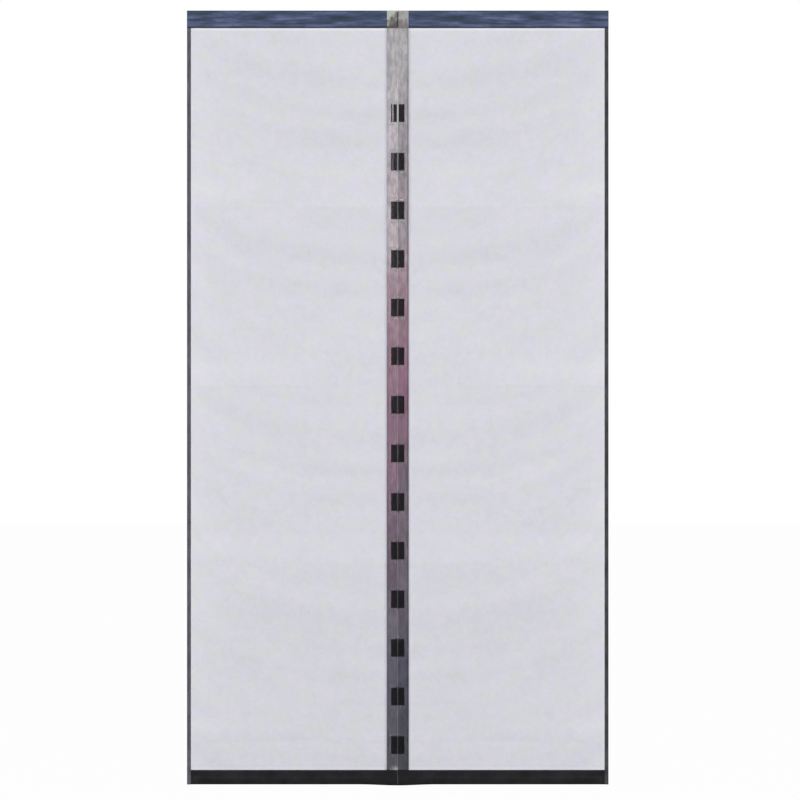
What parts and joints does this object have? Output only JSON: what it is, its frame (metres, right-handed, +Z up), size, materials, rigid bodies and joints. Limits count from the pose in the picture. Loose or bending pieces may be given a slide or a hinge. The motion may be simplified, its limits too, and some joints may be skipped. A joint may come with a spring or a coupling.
{
  "type": "magnetic plastic door curtain",
  "caption": "Hanging door curtain of paired frosted plastic leaves that close along clear sleeves of magnets, with a woven top band, bound sides and weighted vinyl hems.",
  "frame": {"origin": "middle of the adhesive back face of the hook tape that is stuck to the door head", "axes": "+Z up, +X to the right as seen from the front, -Y out of the front face, +Y towards the door frame"},
  "size_m": [1.2, 0.0107, 2.206],
  "materials": {
    "frosted_film": "frosted thermal sheet, semi-matt, with fold creases",
    "clear_film": "clear calendered vinyl film, glossy, slightly smoky",
    "navy_band": "woven navy band, matt",
    "grey_binding": "woven grey edge binding, matt",
    "black_vinyl": "black vinyl band, satin",
    "loop_pile": "loop tape, fuzzy",
    "hook_tape": "hook tape with an adhesive back",
    "ferrite": "black ferrite, smooth",
    "zinc_plate": "zinc-plated steel strip"
  },
  "bodies": {
    "root": {"door_hook_tape": "hook_tape", "left_sheet": "frosted_film", "left_magnet_sleeve": "clear_film", "left_head_tab": "clear_film", "left_top_band": "navy_band", "left_side_binding": "grey_binding", "left_bottom_hem": "black_vinyl", "left_loop_tape": "loop_pile", "left_hem_weight": "zinc_plate", "left_magnet_01": "ferrite", "left_magnet_02": "ferrite", "left_magnet_03": "ferrite", "left_magnet_04": "ferrite", "left_magnet_05": "ferrite", "left_magnet_06": "ferrite", "left_magnet_07": "ferrite", "left_magnet_08": "ferrite", "left_magnet_09": "ferrite", "left_magnet_10": "ferrite", "left_magnet_11": "ferrite", "left_magnet_12": "ferrite", "left_magnet_13": "ferrite", "left_magnet_14": "ferrite", "right_sheet": "frosted_film", "right_magnet_sleeve": "clear_film", "right_head_tab": "clear_film", "right_top_band": "navy_band", "right_side_binding": "grey_binding", "right_bottom_hem": "black_vinyl", "right_loop_tape": "loop_pile", "right_hem_weight": "zinc_plate", "right_magnet_01": "ferrite", "right_magnet_02": "ferrite", "right_magnet_03": "ferrite", "right_magnet_04": "ferrite", "right_magnet_05": "ferrite", "right_magnet_06": "ferrite", "right_magnet_07": "ferrite", "right_magnet_08": "ferrite", "right_magnet_09": "ferrite", "right_magnet_10": "ferrite", "right_magnet_11": "ferrite", "right_magnet_12": "ferrite", "right_magnet_13": "ferrite", "right_magnet_14": "ferrite"}
  },
  "joints": []
}
